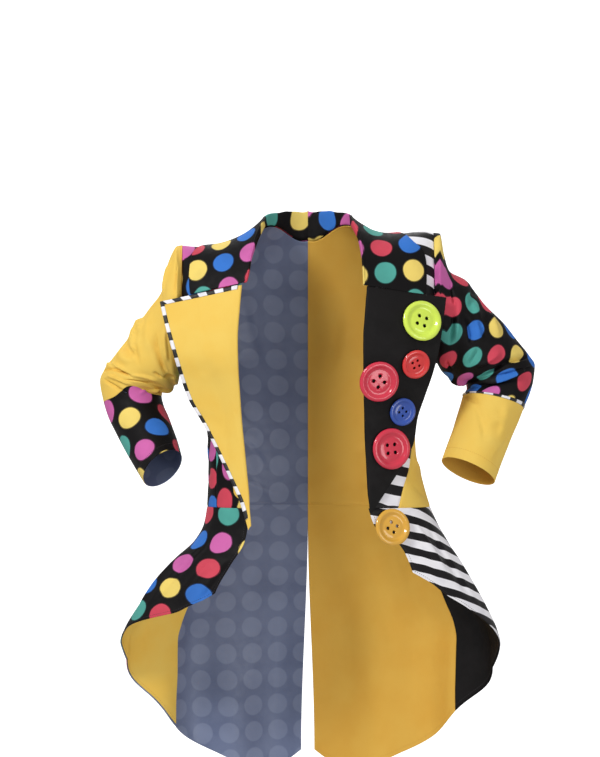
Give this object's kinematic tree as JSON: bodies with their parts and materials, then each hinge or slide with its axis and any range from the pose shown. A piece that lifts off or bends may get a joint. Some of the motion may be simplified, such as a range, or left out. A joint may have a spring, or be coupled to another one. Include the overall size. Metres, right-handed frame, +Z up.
{
  "type": "clown tailcoat",
  "caption": "Patchwork clown tailcoat worn open, with oversized lapels, show buttons, bent sleeves and split tails.",
  "frame": {"origin": "middle of the neck base, between the shoulder seams, where the wearer's shoulders hold the coat up", "axes": "+Z up, -Y the way the wearer faces, +X towards the wearer's left"},
  "size_m": [0.7867, 0.3456, 1.028],
  "materials": {
    "dotted_cloth": "black satin with printed dots",
    "yellow_cloth": "matt twill",
    "striped_cloth": "black and white stripes",
    "black_cloth": "matt",
    "block_edging": "black and white blocks",
    "button_lime": "gloss",
    "button_red": "gloss",
    "button_rose": "gloss",
    "button_blue": "gloss",
    "button_yellow": "gloss"
  },
  "bodies": {
    "root": {"front_right": "dotted_cloth", "side_body_right": "dotted_cloth", "back_right": "dotted_cloth", "skirt_right": "dotted_cloth", "tail_right": "dotted_cloth", "collar": "dotted_cloth", "sleeve_lower_right": "dotted_cloth", "sleeve_upper_left": "dotted_cloth", "facing_right": "yellow_cloth", "lapel_right": "yellow_cloth", "sleeve_upper_right": "yellow_cloth", "side_body_left": "yellow_cloth", "back_left": "yellow_cloth", "tail_left": "yellow_cloth", "cuff_left": "yellow_cloth", "front_left": "striped_cloth", "skirt_left": "striped_cloth", "lapel_left": "black_cloth", "facing_left": "black_cloth", "edging_lapel_right": "block_edging", "edging_cuff_left": "block_edging", "button_lime": "button_lime", "button_red_small": "button_red", "button_rose_upper": "button_rose", "button_rose_lower": "button_rose", "button_blue_small": "button_blue", "button_waist_yellow": "button_yellow"}
  },
  "joints": []
}
